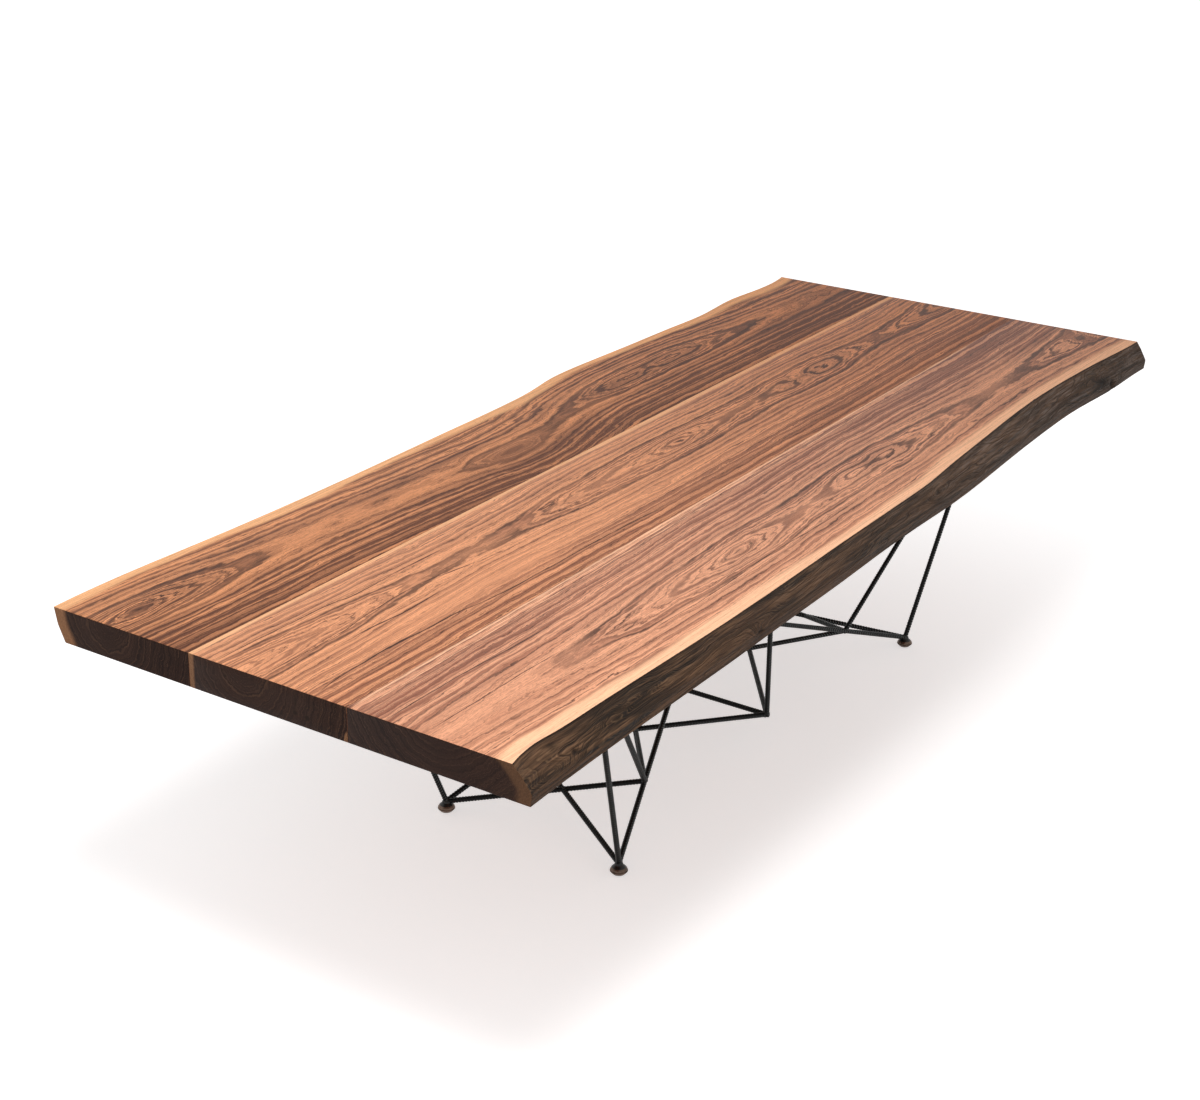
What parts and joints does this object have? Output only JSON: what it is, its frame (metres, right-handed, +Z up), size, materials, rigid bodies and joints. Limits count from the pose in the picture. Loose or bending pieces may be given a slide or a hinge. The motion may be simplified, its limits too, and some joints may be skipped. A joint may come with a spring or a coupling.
{
  "type": "dining table",
  "caption": "Long dining table with a thick live-edge board top on a welded, cross-braced space frame of ribbed steel bar with levelling feet.",
  "frame": {"origin": "on the floor, under the middle of the top's bounding box", "axes": "+X along the top's length, +Y across it towards its pale live edge, +Z up"},
  "size_m": [3, 1.2116, 0.75],
  "materials": {
    "board_left": "oiled walnut, sealed, straight to cathedral grain",
    "board_middle": "oiled walnut, sealed",
    "board_right": "oiled walnut, sealed, bark side cleaned and left natural",
    "frame_black": "black paint over ribbed steel bar, satin",
    "glide": "dark bronzed metal, satin",
    "stud": "zinc-plated thread",
    "fastener_steel": "zinc-plated"
  },
  "bodies": {
    "table": {"board_left": "board_left", "board_middle": "board_middle", "board_right": "board_right", "brace_far_left": "frame_black", "brace_far_right": "frame_black", "brace_near_left": "frame_black", "brace_near_right": "frame_black", "cross_tie": "frame_black", "diagonal_far_left": "frame_black", "diagonal_far_right": "frame_black", "diagonal_near_left": "frame_black", "diagonal_near_right": "frame_black", "foot_cups": "frame_black", "head_plate_far_left": "frame_black", "head_plate_far_right": "frame_black", "head_plate_near_left": "frame_black", "head_plate_near_right": "frame_black", "plate_bolts": "fastener_steel", "post_left": "frame_black", "post_plate_left": "frame_black", "post_plate_right": "frame_black", "post_right": "frame_black", "strut_far_left": "frame_black", "strut_far_right": "frame_black", "strut_near_left": "frame_black", "strut_near_right": "frame_black", "threaded_inserts": "fastener_steel", "tie_far_left": "frame_black", "tie_far_right": "frame_black", "tie_near_left": "frame_black", "tie_near_right": "frame_black", "upright_far_left": "frame_black", "upright_far_right": "frame_black", "upright_near_left": "frame_black", "upright_near_right": "frame_black"},
    "leveller_near_left": {"foot_glide_near_left": "glide", "foot_stud_near_left": "stud"},
    "leveller_near_right": {"foot_glide_near_right": "glide", "foot_stud_near_right": "stud"},
    "leveller_far_right": {"foot_glide_far_right": "glide", "foot_stud_far_right": "stud"},
    "leveller_far_left": {"foot_glide_far_left": "glide", "foot_stud_far_left": "stud"}
  },
  "joints": [
    {"name": "leveller_near_left_screw", "type": "slide", "parent": "table", "child": "leveller_near_left", "axis": [0, 0, -1], "range_m": [0, 0.006]},
    {"name": "leveller_near_right_screw", "type": "slide", "parent": "table", "child": "leveller_near_right", "axis": [0, 0, -1], "range_m": [0, 0.006]},
    {"name": "leveller_far_right_screw", "type": "slide", "parent": "table", "child": "leveller_far_right", "axis": [0, 0, -1], "range_m": [0, 0.006]},
    {"name": "leveller_far_left_screw", "type": "slide", "parent": "table", "child": "leveller_far_left", "axis": [0, 0, -1], "range_m": [0, 0.006]}
  ]
}
